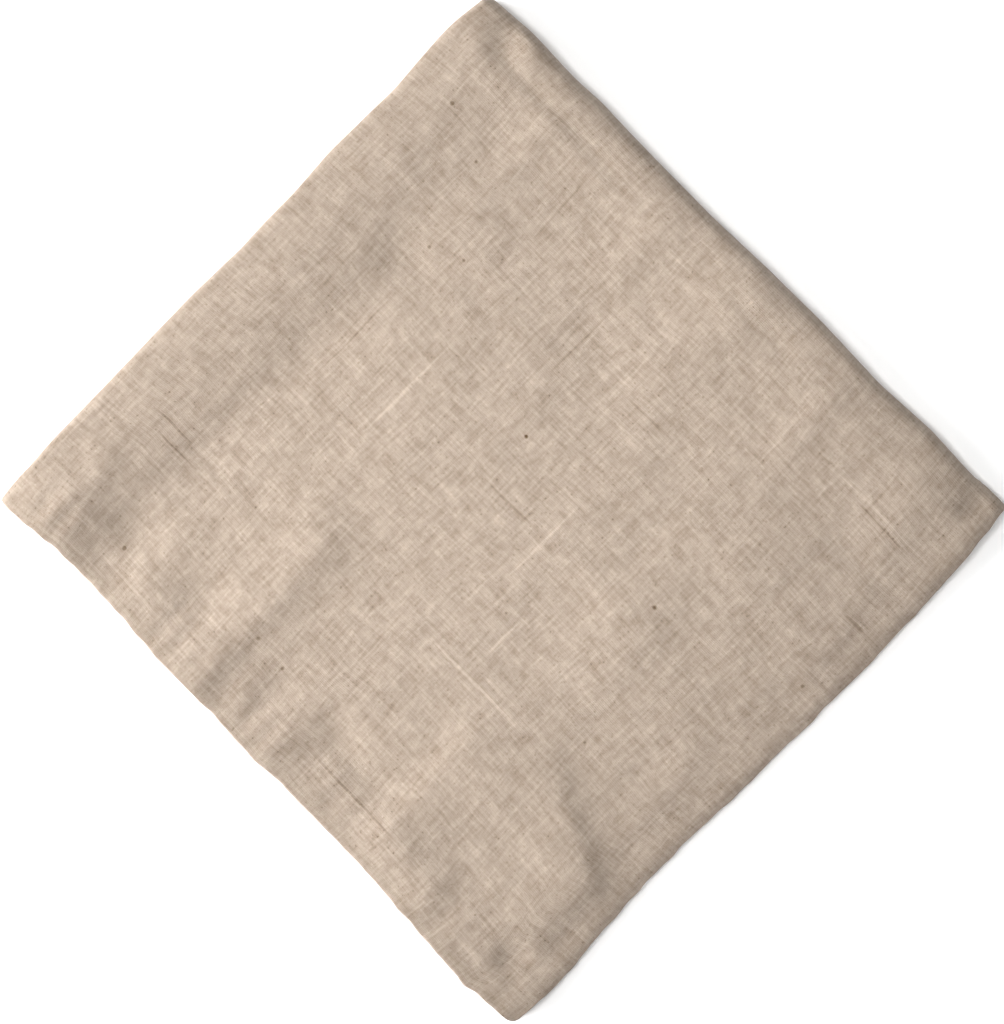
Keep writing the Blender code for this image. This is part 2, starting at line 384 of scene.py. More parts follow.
class Outline:
    """The napkin's outline seen from above, from the middle of the picture."""

    FIRST_FOLD = [
        Station(-108.6, -112.9),
        Station(-104.0, -113.5),
        Station(-97.0, -114.0),
        Station(-92.0, -114.3),
        Station(-85.0, -114.9),
        Station(-65.0, -115.2),
        Station(-50.0, -115.5),
        Station(-35.0, -115.9),
        Station(-20.0, -116.1),
        Station(1.0, -115.6),
        Station(10.0, -116.1),
        Station(25.0, -116.2),
        Station(40.0, -117.4),
        Station(55.0, -117.3),
        Station(70.0, -117.0),
        Station(80.0, -117.8),
        Station(91.0, -118.5),
        Station(97.0, -118.5),
        Station(101.5, -118.0),
        Station(106.6, -117.3),
        Station(110.9, -116.9),
    ]
    SECOND_FOLD = [
        Station(-116.0, 109.8),
        Station(-112.8, 110.3),
        Station(-108.0, 110.6),
        Station(-99.0, 111.3),
        Station(-79.0, 110.6),
        Station(-68.0, 111.2),
        Station(-52.0, 110.7),
        Station(-17.0, 110.4),
        Station(8.0, 111.2),
        Station(30.0, 111.4),
        Station(45.0, 110.9),
        Station(57.0, 110.5),
        Station(79.0, 111.7),
        Station(90.0, 111.2),
        Station(97.0, 110.9),
        Station(106.0, 111.3),
        Station(113.2, 111.3),
    ]
    SIDE_HEM = [
        Station(-108.6, 113.7),
        Station(-104.0, 114.9),
        Station(-92.0, 115.6),
        Station(-70.0, 114.0),
        Station(-50.0, 112.6),
        Station(-26.0, 112.5),
        Station(-15.0, 113.2),
        Station(27.0, 113.6),
        Station(49.0, 113.7),
        Station(82.0, 112.3),
        Station(90.0, 111.8),
        Station(96.0, 110.7),
        Station(103.0, 110.0),
        Station(110.9, 109.4),
    ]
    FRONT_HEM = [
        Station(-116.0, -108.1),
        Station(-106.0, -107.7),
        Station(-101.0, -107.1),
        Station(-95.0, -106.1),
        Station(-90.0, -106.6),
        Station(-85.0, -106.4),
        Station(-67.0, -106.8),
        Station(-48.0, -108.2),
        Station(-21.0, -108.4),
        Station(-2.0, -109.3),
        Station(8.0, -108.6),
        Station(46.0, -109.2),
        Station(62.0, -110.3),
        Station(80.0, -111.6),
        Station(90.0, -112.0),
        Station(94.0, -113.1),
        Station(98.0, -111.8),
        Station(108.0, -111.5),
        Station(113.2, -111.3),
    ]

    # How far round a station each side's curve is rounded, in millimetres
    FOLD_SOFTNESS = 1.6
    SIDE_HEM_SOFTNESS = 2.5
    FRONT_HEM_SOFTNESS = 1.2
    # The upper and lower corners of the picture are rounder than those at its sides
    ROUND_CORNER = 2.4 * MM
    SHARP_CORNER = 0.9 * MM

    def __init__(self) -> None:
        """Makes the four sides' curves."""
        self.first_fold = Curve(self.FIRST_FOLD, self.FOLD_SOFTNESS)
        self.second_fold = Curve(self.SECOND_FOLD, self.FOLD_SOFTNESS)
        self.side_hem = Curve(self.SIDE_HEM, self.SIDE_HEM_SOFTNESS)
        self.front_hem = Curve(self.FRONT_HEM, self.FRONT_HEM_SOFTNESS)

    def rounded(self, x: np.ndarray, y: np.ndarray, wide: Limits, deep: Limits) -> Limits:
        """Draws points near the four corners into rounded corners.

        Args:
            x: places along X, in metres.
            y: places along Y, in metres.
            wide: the outline's low and high X at each point.
            deep: the outline's low and high Y at each point.

        Returns:
            The new places along X and along Y.
        """
        is_sharp = (x > 0.0) == (y > 0.0)
        radius = np.where(is_sharp, self.SHARP_CORNER, self.ROUND_CORNER)
        low_x, high_x = (np.clip(1.0 - d / radius, 0.0, 1.2) for d in (x - wide[0], wide[1] - x))
        low_y, high_y = (np.clip(1.0 - d / radius, 0.0, 1.2) for d in (y - deep[0], deep[1] - y))
        near_x, near_y = np.maximum(low_x, high_x), np.maximum(low_y, high_y)
        scale = np.maximum(near_x, near_y) / np.maximum(np.hypot(near_x, near_y), 1e-9)
        inward = np.where((near_x > 0.0) & (near_y > 0.0), (1.0 - scale) * radius, 0.0)
        return x + inward * (low_x - high_x), y + inward * (low_y - high_y)


@dataclass
class FoldedCloth:
    """The napkin's one cloth, folded in half twice.

    U runs along X from the first fold and V along Y from the second. U over 0 is the outer half,
    on the bottom and on the top of the stack, and V under 0 is the upper half.
    """

    fold_x: float = -116.0 * MM
    hem_x: float = 113.2 * MM
    fold_y: float = 110.9 * MM
    hem_y: float = -108.6 * MM
    first_turn: float = 1.8 * MM
    second_turn: float = 3.6 * MM
    first_arc: float = 2.5 * MM
    second_arc: float = 3.9 * MM
    turn_steps: int = 8
    cloth_thick: float = 0.75 * MM
    hem_least: float = 1.05 * MM
    crossing_share: float = 1.12
    edge_wave: float = 0.2 * MM
    edge_power: int = 8
    ripple_size: float = 5.0 * MM
    drift_size: float = 13.0 * MM
    layer_shift: float = 40.0 * MM
    lower_tuck: float = 1.2 * MM
    fine_reach: float = 30.0 * MM
    before_hem: float = 1.5 * MM
    # Spacing of the grid's lines beside a fold and elsewhere, where the cloth shows and where it doesn't
    shown_steps: tuple[float, float] = (1.5 * MM, 1.9 * MM)
    hidden_steps: tuple[float, float] = (3.0 * MM, 4.6 * MM)

    # How far the open edges of each layer lie inside the outline, from the top layer down
    INSETS = (0.0, 2.3 * MM, 3.4 * MM, 1.6 * MM)
    # Thickness of the cloth by distance from its edge, both in millimetres
    HEM_PROFILE = [
        Station(0.0, 0.55),
        Station(0.4, 1.1),
        Station(1.1, 1.35),
        Station(9.8, 1.35),
        Station(10.7, 1.0),
        Station(11.3, 1.2),
        Station(12.2, 1.15),
        Station(12.8, 0.75),
    ]
    # Distances from the edge at which the grid has lines
    HEM_LINES = (0.0, 0.4, 1.1, 2.4, 4.0, 5.6, 7.2, 8.6, 9.8, 10.7, 11.3, 12.2, 12.8, 14.0, 15.6)

    def __post_init__(self) -> None:
        """Works out the flat cloth's size, and makes the outline and the relief."""
        self.straight_x = self.hem_x - self.fold_x - self.first_turn
        self.straight_y = self.fold_y - self.hem_y - self.second_turn
        self.half_u = self.first_arc + self.straight_x
        self.half_v = self.second_arc + self.straight_y
        self.outline = Outline()
        self.relief = Relief()

    def lines(self, arc: float, half: float, steps: tuple[float, float]) -> np.ndarray:
        """Distances from a fold at which the grid has lines across one half of the cloth.

        Args:
            arc: length of the quarter turn.
            half: length of the half.
            steps: spacing beside the fold, and elsewhere.

        Returns:
            The distances, from the fold outward.
        """
        fine, coarse = steps
        turn = np.linspace(0.0, arc, self.turn_steps + 1)
        hem_start = half - self.HEM_LINES[-1] * MM - self.before_hem
        near_end = arc + self.fine_reach
        near = np.linspace(arc, near_end, max(2, round((near_end - arc) / fine)) + 1)[1:]
        far_count = max(2, round((hem_start - near_end) / coarse))
        far = np.linspace(near_end, hem_start, far_count + 1)[1:]
        hem = half - np.array(self.HEM_LINES[::-1]) * MM
        return np.concatenate([turn, near, far, hem])

    def thickness(self, u: np.ndarray, v: np.ndarray) -> np.ndarray:
        """The cloth's thickness, more in the hems and most where two hems cross.

        Args:
            u: places across the cloth, in metres from the first fold.
            v: places along the cloth, in metres from the second fold.

        Returns:
            The thickness at each place.
        """
        places = [s.at for s in self.HEM_PROFILE]
        values = [s.out for s in self.HEM_PROFILE]
        across = np.interp((self.half_u - np.abs(u)) / MM, places, values) * MM
        along = np.interp((self.half_v - np.abs(v)) / MM, places, values) * MM
        both = np.minimum(across, along) > self.hem_least
        return np.maximum(across, along) * np.where(both, self.crossing_share, 1.0)

    def edge_ripple(self, along: np.ndarray, offset: float) -> np.ndarray:
        """How far a hem's edge wanders from its smooth outline.

        Args:
            along: places along the edge, in metres.
            offset: which part of the noise is read.

        Returns:
            How far out the edge lies at each place, in metres.
        """
        ripple = soft_noise(along, np.zeros_like(along), self.ripple_size, offset)
        drift = soft_noise(along, np.zeros_like(along), self.drift_size, offset + 4.0)
        return self.edge_wave * (ripple + 0.8 * drift)

    def place(self, u: np.ndarray, v: np.ndarray) -> np.ndarray:
        """Where points of the flat cloth's middle surface lie once it is folded.

        Args:
            u: places across the cloth, in metres from the first fold.
            v: places along the cloth, in metres from the second fold.

        Returns:
            Their places, as rows of X, Y and Z.
        """
        side_u, side_v = np.sign(u), np.sign(v)
        angle_u = np.minimum(np.abs(u) / self.first_arc, 1.0) * math.pi / 2
        angle_v = np.minimum(np.abs(v) / self.second_arc, 1.0) * math.pi / 2
        share_u = np.maximum(np.abs(u) - self.first_arc, 0.0) / self.straight_x
        share_v = np.maximum(np.abs(v) - self.second_arc, 0.0) / self.straight_y
        # 1 on the inner layers of the stack, 3 on its bottom and top, and between in the first fold
        outward = 2.0 + side_u * np.sin(angle_u)
        reach_u = self.first_turn * (1.0 - np.cos(angle_u))
        reach_v = self.second_turn * (1.0 - outward / 3.0 * np.cos(angle_v))

        flat_x = self.fold_x + reach_u + share_u * self.straight_x
        flat_y = self.fold_y - reach_v - share_v * self.straight_y
        upper = v < 0.0
        layer = np.where(upper, np.where(u > 0.0, 0, 1), np.where(u > 0.0, 3, 2))
        inset = np.array(self.INSETS)[layer]
        tuck = np.where(upper, 0.0, self.lower_tuck * share_v)
        shift = self.layer_shift * layer
        ripple_x = self.edge_ripple(flat_y + shift, 5.0) * share_u**self.edge_power
        ripple_y = self.edge_ripple(flat_x + shift, 8.0) * share_v**self.edge_power
        fold_x = self.outline.first_fold.at(flat_y) + self.cloth_thick / 2 + tuck
        fold_y = self.outline.second_fold.at(flat_x) - self.cloth_thick / 2
        hem_x = self.outline.side_hem.at(flat_y) - inset * share_v + ripple_x
        hem_y = self.outline.front_hem.at(flat_x) + inset * share_u - ripple_y
        x = fold_x + reach_u + share_u * (hem_x - fold_x - self.first_turn)
        y = fold_y - reach_v - share_v * (fold_y - hem_y - self.second_turn)
        x, y = self.outline.rounded(x, y, (fold_x, hem_x), (hem_y, fold_y))

        level = (3.0 - side_v * outward * np.sin(angle_v)) / 6.0
        thick = self.thickness(u, v)
        z = thick / 2 + level * (self.relief.height(x, y, self.outline) - thick)
        return np.stack([x, y, z], axis=-1) - np.array(OUTLINE_MIDDLE)

    def build(self, finish: "LinenFinish") -> bpy.types.Object:
        """Makes the cloth as a piece.

        Args:
            finish: the linen's finish.

        Returns:
            The piece, with its thickness as a modifier.
        """
        outer_u = self.lines(self.first_arc, self.half_u, self.shown_steps)
        inner_u = self.lines(self.first_arc, self.half_u, self.hidden_steps)
        upper_v = self.lines(self.second_arc, self.half_v, self.shown_steps)
        lower_v = self.lines(self.second_arc, self.half_v, self.hidden_steps)
        lines_u = np.concatenate([-inner_u[:0:-1], outer_u])
        lines_v = np.concatenate([-upper_v[:0:-1], lower_v])
        sheet = bmesh.new()
        columns, rows = len(lines_u) - 1, len(lines_v) - 1
        bmesh.ops.create_grid(sheet, x_segments=columns, y_segments=rows, size=0.5)
        mesh = bpy.data.meshes.new("napkin_cloth")
        sheet.to_mesh(mesh)
        sheet.free()

        flat = np.empty(len(mesh.vertices) * 3)
        mesh.vertices.foreach_get("co", flat)
        flat = flat.reshape(-1, 3)
        u = lines_u[np.rint((flat[:, 0] + 0.5) * columns).astype(int)]
        v = lines_v[np.rint((flat[:, 1] + 0.5) * rows).astype(int)]
        mesh.vertices.foreach_set("co", self.place(u, v).ravel())
        corners = np.empty(len(mesh.loops), dtype=int)
        mesh.loops.foreach_get("vertex_index", corners)
        flat_map = mesh.uv_layers.new(name=FLAT_MAP)
        flat_map.data.foreach_set("uv", np.stack([u[corners], v[corners]], axis=-1).ravel())
        mesh.polygons.foreach_set("use_smooth", np.ones(len(mesh.polygons), dtype=bool))
        mesh.update()
        mesh.materials.append(finish.material())

        cloth = bpy.data.objects.new("napkin_cloth", mesh)
        bpy.context.scene.collection.objects.link(cloth)
        self.thicken(cloth, self.thickness(u, v))
        return cloth

    def thicken(self, cloth: bpy.types.Object, thick: np.ndarray) -> None:
        """Gives the cloth its thickness.

        Args:
            cloth: the piece.
            thick: the thickness at each vertex.
        """
        most = float(thick.max())
        group = cloth.vertex_groups.new(name="thickness")
        for index, value in enumerate(thick):
            group.add([index], float(value) / most, "REPLACE")
        solidify = cloth.modifiers.new("thickness", "SOLIDIFY")
        solidify.thickness = most
        solidify.offset = 0.0
        solidify.use_even_offset = True
        solidify.vertex_group = group.name

    def outer_point(self, u: float, v: float) -> tuple[Vector, Vector]:
        """A point of the cloth's outer face, where it shows on the folded stack.

        Args:
            u: place across the cloth.
            v: place along the cloth.

        Returns:
            The point, and the direction outward from the face.
        """
        step = 0.2 * MM
        near_u = np.array([u, u + step, u])
        near_v = np.array([v, v, v + step])
        at, over, up = (Vector(row) for row in self.place(near_u, near_v))
        along_u, along_v = (over - at).normalized(), (up - at).normalized()
        outward = along_v.cross(along_u).normalized()
        half = float(self.thickness(np.array([u]), np.array([v]))[0]) / 2
        return at + outward * half, outward


@dataclass
class HemStitching:
    """The rows of straight stitches that hold the turned hems, on the outer face of the cloth."""

    from_edge: float = 10.7 * MM
    pitch: float = 2.9 * MM
    length: float = 2.3 * MM
    width: float = 0.36 * MM
    sink: float = 0.06 * MM
    past_fold: float = 2.0 * MM

    def rows(self, cloth: FoldedCloth) -> list[list[tuple[float, float]]]:
        """The places of the stitches, row by row, on the flat cloth.

        Args:
            cloth: the cloth that they hold.

        Returns:
            A list of (u, v) for each row.
        """
        end_u = cloth.half_u - self.from_edge
        end_v = cloth.half_v - self.from_edge
        side = np.arange(-end_v, end_v, self.pitch)
        front = np.arange(-self.past_fold, end_u, self.pitch)
        return [
            [(end_u, float(v)) for v in side],
            [(float(u), -end_v) for u in front],
            [(float(u), end_v) for u in front],
        ]

    def stitch(self, into: bmesh.types.BMesh, matrix: Matrix) -> None:
        """Adds one stitch, a short plump thread, to a mesh."""
        made = bmesh.ops.create_uvsphere(into, u_segments=6, v_segments=5, radius=0.5)["verts"]
        bmesh.ops.transform(into, verts=made, matrix=matrix)

    def build(self, cloth: FoldedCloth, finish: "ThreadFinish") -> bpy.types.Object:
        """Makes all the stitches as one piece.

        Args:
            cloth: the cloth that they lie on.
            finish: the thread's finish.

        Returns:
            The piece.
        """
        stitches = bmesh.new()
        size = Matrix.Diagonal((self.width, self.width, self.length, 1.0))
        for row in self.rows(cloth):
            for (u, v), (next_u, next_v) in zip(row, row[1:]):
                place, outward = cloth.outer_point(u, v)
                ahead, _ = cloth.outer_point(next_u, next_v)
                along = (ahead - place).normalized()
                across = outward.cross(along).normalized()
                upward = along.cross(across)
                turn = Matrix((across, upward, along)).transposed().to_4x4()
                middle = (place + ahead) / 2 - outward * self.sink
                self.stitch(stitches, Matrix.Translation(middle) @ turn @ size)
        bmesh.ops.recalc_face_normals(stitches, faces=stitches.faces)
        mesh = bpy.data.meshes.new("hem_stitches")
        stitches.to_mesh(mesh)
        stitches.free()
        mesh.polygons.foreach_set("use_smooth", np.ones(len(mesh.polygons), dtype=bool))
        mesh.materials.append(finish.material())
        piece = bpy.data.objects.new("hem_stitches", mesh)
        bpy.context.scene.collection.objects.link(piece)
        return piece


class Nodes:
    """Short ways to add and join a material's nodes."""

    def __init__(self, name: str) -> None:
        """Starts a material that holds only its shader.

        Args:
            name: the material's name.
        """
        self.material = bpy.data.materials.new(name)
        self.material.use_nodes = True
        self.tree = self.material.node_tree
        self.shader = self.tree.nodes["Principled BSDF"]

    def node(self, kind: str, **settings: Any) -> bpy.types.Node:
        """A new node with its settings.

        Args:
            kind: the node's type.
            settings: its properties, by name.

        Returns:
            The node.
        """
        made = self.tree.nodes.new(kind)
        for key, value in settings.items():
            setattr(made, key, value)
        return made

    def put(self, socket: bpy.types.NodeSocket, value: Value | tuple[float, ...]) -> None:
        """Sets a socket to a value, or joins it to an output.

        Args:
            socket: the input.
            value: a plain value, or the output of a node.
        """
        if isinstance(value, bpy.types.NodeSocket):
            self.tree.links.new(value, socket)
        else:
            socket.default_value = value

    def math(self, operation: str, *values: Value) -> bpy.types.NodeSocket:
        """A sum of some kind on numbers.

        Args:
            operation: the kind of sum.
            values: its numbers.

        Returns:
            The result.
        """
        made = self.node("ShaderNodeMath", operation=operation)
        for socket, value in zip(made.inputs, values):
            self.put(socket, value)
        return made.outputs[0]

    def mix(self, share: Value, first: Value, second: Value) -> bpy.types.NodeSocket:
        """A number between two others.

        Args:
            share: 0 for the first number, 1 for the second.
            first: the first number.
            second: the second number.

        Returns:
            The mixed number.
        """
        made = self.node("ShaderNodeMix", data_type="FLOAT")
        for name, value in (("Factor_Float", share), ("A_Float", first), ("B_Float", second)):
            socket = next(s for s in made.inputs if s.identifier == name)
            self.put(socket, value)
        return made.outputs[0]

    def combine(self, x: Value, y: Value, z: Value = 0.0) -> bpy.types.NodeSocket:
        """A vector from three numbers.

        Args:
            x: its first number.
            y: its second number.
            z: its third number.

        Returns:
            The vector.
        """
        made = self.node("ShaderNodeCombineXYZ")
        for socket, value in zip(made.inputs, (x, y, z)):
            self.put(socket, value)
        return made.outputs[0]

    def noise(self, vector: Value, detail: float = 2.0, roughness: float = 0.5) -> bpy.types.NodeSocket:
        """Noise at a place that is already in the noise's own units.

        Args:
            vector: the place.
            detail: how many finer layers the noise has.
            roughness: how strong they are.

        Returns:
            The noise, from 0 to 1.
        """
        made = self.node("ShaderNodeTexNoise", noise_dimensions="3D")
        self.put(made.inputs["Vector"], vector)
        made.inputs["Scale"].default_value = 1.0
        made.inputs["Detail"].default_value = detail
        made.inputs["Roughness"].default_value = roughness
        return made.outputs[0]

    def spread(
        self, value: Value, low: float, high: float, start: float, end: float
    ) -> bpy.types.NodeSocket:
        """Carries a number softly from one range to another.

        Args:
            value: the number.
            low: the low end of its range.
            high: the high end of its range.
            start: what the low end becomes.
            end: what the high end becomes.

        Returns:
            The new number, which stays within start and end.
        """
        made = self.node("ShaderNodeMapRange", interpolation_type="SMOOTHSTEP")
        for socket, given in zip(made.inputs, (value, low, high, start, end)):
            self.put(socket, given)
        return made.outputs[0]


@dataclass(frozen=True)
class Mottle:
    """One layer of uneven tone, with the size of its lumps along U and V in metres."""

    size_u: float
    size_v: float
    offset: float
    tone: float
    detail: float = 2.0
    roughness: float = 0.5


@dataclass(frozen=True)
class LinenFinish:
    """Natural undyed linen in a plain weave, with uneven threads."""

    color: tuple[float, float, float] = (0.403, 0.323, 0.256)
    warmth: tuple[float, float, float] = (0.036, 0.0, -0.03)
    pitch: float = 0.55 * MM
    wander: float = 1.6
    wander_size: tuple[float, float] = (22.0 * MM, 14.0 * MM)
    weave_depth: float = 0.08 * MM
    thread_roundness: float = 0.7
    tone_lift: float = 0.9
    slub_lift: float = 1.2
    # Share of the usual colour from the weave's low places to its threads' crowns: painted shade between
    # the threads and a little painted light on the crowns
    painted_weave_shade: tuple[float, float] = (0.94, 1.02)
    weave_roughness: tuple[float, float] = (0.96, 0.78)
    wrinkle_height: float = 0.22 * MM
    wrinkle_size: float = 4.5 * MM
    thread_tone: float = 0.50
    tone_length: float = 2.2 * MM
    thread_step: float = 3.7
    uneven_size: float = 9.0 * MM
    evenest_tone: float = 0.55
    unevenest_tone: float = 1.6
    nub_tone: float = 0.32
    nub_width: float = 0.7 * MM
    nub_length: float = 1.0 * MM
    light_nub: tuple[float, float] = (0.14, 0.26)
    dark_nub: tuple[float, float] = (-0.27, -0.13)
    dark_nub_depth: float = 1.8
    mark_edge: tuple[float, float] = (0.55, 1.15)
    specular: float = 0.25
    sheen: float = 0.12
    sheen_roughness: float = 0.6

    MOTTLES = (
        # Bundles of threads that are alike
        Mottle(0.9 * MM, 24.0 * MM, 31.0, 0.42),
        Mottle(24.0 * MM, 0.9 * MM, 38.0, 0.42),
        # Short streaks
        Mottle(1.3 * MM, 8.0 * MM, 61.0, 0.70, roughness=0.7),
        Mottle(8.0 * MM, 1.3 * MM, 67.0, 0.70, roughness=0.7),
        # Soft clouds
        Mottle(6.5 * MM, 6.5 * MM, 53.0, 0.52, detail=1.5, roughness=0.8),
    )
    SLUBS = (
        Slub(33, -44.0, 50, 1.1, Direction.ALONG_X, 0.30),
        Slub(84, 81.8, 48, 0.9, Direction.ALONG_X, 0.22),
        Slub(86, 79.4, 22, 0.9, Direction.ALONG_X, -0.28),
        Slub(101, 53.0, 10, 1.4, Direction.ALONG_X, -0.30),
        Slub(0, 3.2, 26, 1.0, Direction.ALONG_X, -0.24),
        Slub(12, 52.0, 20, 0.9, Direction.ALONG_X, -0.21),
        Slub(-92, -55.2, 16, 0.9, Direction.ALONG_X, -0.28),
        Slub(-86, -60.0, 20, 0.9, Direction.ALONG_X, -0.25),
        Slub(-66, -14.6, 42, 0.7, Direction.ALONG_X, -0.21),
        Slub(-76, 97.8, 38, 0.9, Direction.ALONG_X, -0.14),
        Slub(26, -95.4, 50, 0.8, Direction.ALONG_X, -0.24),
        Slub(14.8, 2, 34, 1.1, Direction.ALONG_Y, 0.27),
        Slub(-48.6, 4, 40, 1.1, Direction.ALONG_Y, 0.22),
        Slub(27.6, -28, 16, 1.1, Direction.ALONG_Y, 0.30),
        Slub(45.0, 78, 34, 1.0, Direction.ALONG_Y, 0.09),
        Slub(-100.6, 88, 26, 1.0, Direction.ALONG_Y, 0.14),
        Slub(-20.0, 55, 30, 0.9, Direction.ALONG_Y, -0.17),
        Slub(-53.0, 78, 34, 0.8, Direction.ALONG_Y, -0.21),
        Slub(-72.0, 2, 50, 0.8, Direction.ALONG_Y, -0.16),
    )
    FLECKS = (
        Fleck(53.5, 12.6, 1.5, -0.6),
        Fleck(-99.6, 77.6, 1.7, -0.5),
        Fleck(-12.0, 21.6, 1.4, -0.9),
        Fleck(-82.2, 70.4, 1.2, -0.5),
        Fleck(-63.4, 45.8, 1.2, -0.5),
        Fleck(-73.8, 41.2, 1.4, -0.5),
        Fleck(-27.8, -81.8, 1.4, -0.5),
        Fleck(-77.6, -93.4, 1.7, -0.5),
        Fleck(-16.0, -83.0, 1.4, -0.5),
        Fleck(68.6, -31.6, 1.2, -0.5),
        Fleck(103.4, 28.2, 1.4, -0.5),
        Fleck(22.6, -21.8, 1.0, -0.5),
    )

    # Where the two folds stand in the slubs' and flecks' own millimetres
    FIRST_FOLD_AT = -116.65
    SECOND_FOLD_AT = 111.2

    def material(self) -> bpy.types.Material:
        """Makes the linen's material.

        Returns:
            The material, which reads the flat cloth's own map.
        """
        made = Nodes("linen")
        parts = made.node("ShaderNodeSeparateXYZ")
        made.put(parts.inputs[0], made.node("ShaderNodeUVMap", uv_map=FLAT_MAP).outputs[0])
        flat = (parts.outputs[0], parts.outputs[1])
        across = self.wandering(made, flat[0], flat[1], 0.0)
        along = self.wandering(made, flat[1], flat[0], 40.0)

        weave, over = self.weave(made, across, along)
        tones = self.thread_tones(made, flat, across, along, over)
        marks, lumps = self.marks(made, flat)
        shade = made.math("ADD", made.math("ADD", tones, marks), 1.0)
        # Painted shade between the threads and a little painted light on their crowns, following the
        # weave's height
        shade = made.math("MULTIPLY", shade, made.spread(weave, 0.0, 0.8, *self.painted_weave_shade))
        self.color_from(made, shade)

        height = made.math("MULTIPLY_ADD", tones, self.tone_lift, weave)
        height = made.math("MULTIPLY_ADD", lumps, self.slub_lift, height)
        wrinkles = self.scaled(made, flat, (self.wrinkle_size, self.wrinkle_size), 83.0, detail=1.0)
        height = made.math("MULTIPLY_ADD", wrinkles, self.wrinkle_height / self.weave_depth, height)
        bump = made.node("ShaderNodeBump")
        bump.inputs["Strength"].default_value = 1.0
        bump.inputs["Distance"].default_value = self.weave_depth
        made.put(bump.inputs["Height"], height)
        made.put(made.shader.inputs["Normal"], bump.outputs[0])
        made.put(made.shader.inputs["Roughness"], made.spread(weave, 0.0, 1.0, *self.weave_roughness))
        made.shader.inputs["Specular IOR Level"].default_value = self.specular
        made.shader.inputs["Sheen Weight"].default_value = self.sheen
        made.shader.inputs["Sheen Roughness"].default_value = self.sheen_roughness
        return made.material

    def wandering(self, made: Nodes, across: Value, along: Value, offset: float) -> Value:
        """The count of threads across the cloth, which wanders a little along them.

        Args:
            made: the material.
            across: the place across the threads.
            along: the place along the threads.
            offset: which part of the noise is read.

        Returns:
            The count, whose whole part is the thread's own number.
        """
        size_across, size_along = self.wander_size
        place = made.combine(
            made.math("MULTIPLY", across, 1.0 / size_across),
            made.math("MULTIPLY", along, 1.0 / size_along),
            offset,
        )
        drift = made.math("MULTIPLY", made.noise(place, detail=1.0), self.wander)
        return made.math("MULTIPLY_ADD", across, 1.0 / self.pitch, drift)

    def weave(self, made: Nodes, across: Value, along: Value) -> tuple[Value, Value]:
        """The plain weave.

        Args:
            made: the material.
            across: the count of threads along U.
            along: the count of threads along V.

        Returns:
            The weave's height, and 1 where the threads that run along V lie on top.
        """
        wave_a = made.math("SINE", made.math("MULTIPLY", across, math.pi))
        wave_b = made.math("SINE", made.math("MULTIPLY", along, math.pi))
        over = made.math("GREATER_THAN", made.math("MULTIPLY", wave_a, wave_b), 0.0)
        round_a = made.math("POWER", made.math("ABSOLUTE", wave_a), self.thread_roundness)
        round_b = made.math("POWER", made.math("ABSOLUTE", wave_b), self.thread_roundness)
        warp = made.math("MULTIPLY", round_a, made.math("MULTIPLY_ADD", round_b, 0.45, 0.55))
        weft = made.math("MULTIPLY", round_b, made.math("MULTIPLY_ADD", round_a, 0.45, 0.55))
        return made.mix(over, weft, warp), over

    def thread_tones(self, made: Nodes, flat: Place, across: Value, along: Value, over: Value) -> Value:
        """How much lighter or darker the threads are than the linen's usual colour.

        Args:
            made: the material.
            flat: the place on the flat cloth.
            across: the count of threads along U.
            along: the count of threads along V.
            over: 1 where the threads that run along V lie on top.

        Returns:
            The tone, about zero.
        """
        count_a = made.math("MULTIPLY", made.math("FLOOR", across), self.thread_step)
        count_b = made.math("MULTIPLY", made.math("FLOOR", along), self.thread_step)
        run_a = made.math("MULTIPLY", flat[1], 1.0 / self.tone_length)
        run_b = made.math("MULTIPLY", flat[0], 1.0 / self.tone_length)
        each_a = self.lumps(made, count_a, run_a, 11.0)
        each_b = self.lumps(made, run_b, count_b, 23.0)
        patch = self.scaled(made, flat, (self.uneven_size, self.uneven_size), 71.0)
        unevenness = made.spread(patch, 0.35, 0.68, self.evenest_tone, self.unevenest_tone)
        tone = made.math("MULTIPLY", made.mix(over, each_b, each_a), unevenness)
        tone = made.math("MULTIPLY", tone, self.thread_tone)
        for layer in self.MOTTLES:
            size = (layer.size_u, layer.size_v)
            settings = {"detail": layer.detail, "roughness": layer.roughness}
            lumps = self.scaled(made, flat, size, layer.offset, **settings)
            tone = made.math("MULTIPLY_ADD", lumps, layer.tone, tone)
        nubs_a = self.nubs(made, self.scaled(made, flat, (self.nub_width, self.nub_length), 91.0))
        nubs_b = self.nubs(made, self.scaled(made, flat, (self.nub_length, self.nub_width), 97.0))
        return made.math("MULTIPLY_ADD", made.math("ADD", nubs_a, nubs_b), self.nub_tone, tone)

    def lumps(self, made: Nodes, x: Value, y: Value, offset: float, **settings: float) -> Value:
        """Noise about zero at a place in its own units."""
        return made.math("SUBTRACT", made.noise(made.combine(x, y, offset), **settings), 0.5)

    def scaled(
        self, made: Nodes, flat: Place, size: tuple[float, float], offset: float, **settings: float
    ) -> Value:
        """Noise about zero on the flat cloth.

        Args:
            made: the material.
            flat: the place on the flat cloth.
            size: the size of its lumps along U and along V, in metres.
            offset: which part of the noise is read.
            settings: the noise's detail and roughness.

        Returns:
            The noise.
        """
        x = made.math("MULTIPLY", flat[0], 1.0 / size[0])
        y = made.math("MULTIPLY", flat[1], 1.0 / size[1])
        return self.lumps(made, x, y, offset, **settings)

    def nubs(self, made: Nodes, noise_about_zero: Value) -> Value:
        """Short light nubs and deeper dark gaps, where the noise is far from zero.

        Args:
            made: the material.
            noise_about_zero: the noise.

        Returns:
            Their tone.
        """
        light = made.spread(noise_about_zero, *self.light_nub, 0.0, 1.0)
        dark = made.spread(noise_about_zero, *self.dark_nub, self.dark_nub_depth, 0.0)
        return made.math("SUBTRACT", light, dark)

